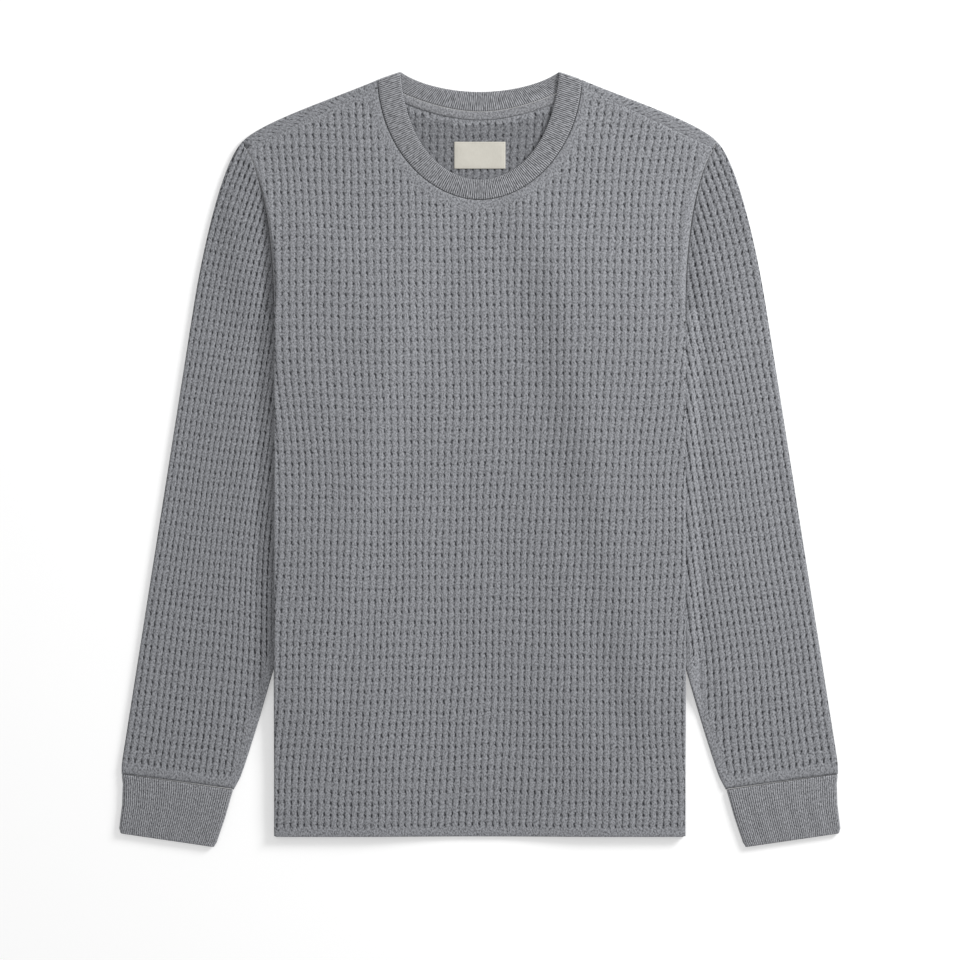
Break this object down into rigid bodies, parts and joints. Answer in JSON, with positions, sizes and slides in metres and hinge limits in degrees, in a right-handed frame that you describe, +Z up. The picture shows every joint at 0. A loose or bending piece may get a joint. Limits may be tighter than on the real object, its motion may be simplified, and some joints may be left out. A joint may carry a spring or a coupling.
{
  "type": "long-sleeve thermal top",
  "caption": "Heather grey waffle-knit crew-neck thermal top with long sleeves, rib neckband and rib cuffs, laid flat face up.",
  "frame": {"origin": "on the surface the top lies on, under the middle of its outline", "axes": "+Z up from the surface, +Y from hem to neck, +X towards the wearer's left sleeve"},
  "size_m": [0.6776, 0.7269, 0.0125],
  "materials": {
    "waffle_knit": "matte heather waffle knit",
    "rib_knit": "matte heather one-by-one rib",
    "neck_tape": "matte jersey tape",
    "label_cloth": "smooth woven satin"
  },
  "bodies": {
    "root": {"front_panel": "waffle_knit", "back_panel": "waffle_knit", "sleeve_left": "waffle_knit", "sleeve_right": "waffle_knit", "cuff_left": "rib_knit", "cuff_right": "rib_knit", "neckband": "rib_knit", "neck_tape": "neck_tape", "neck_label": "label_cloth"}
  },
  "joints": []
}
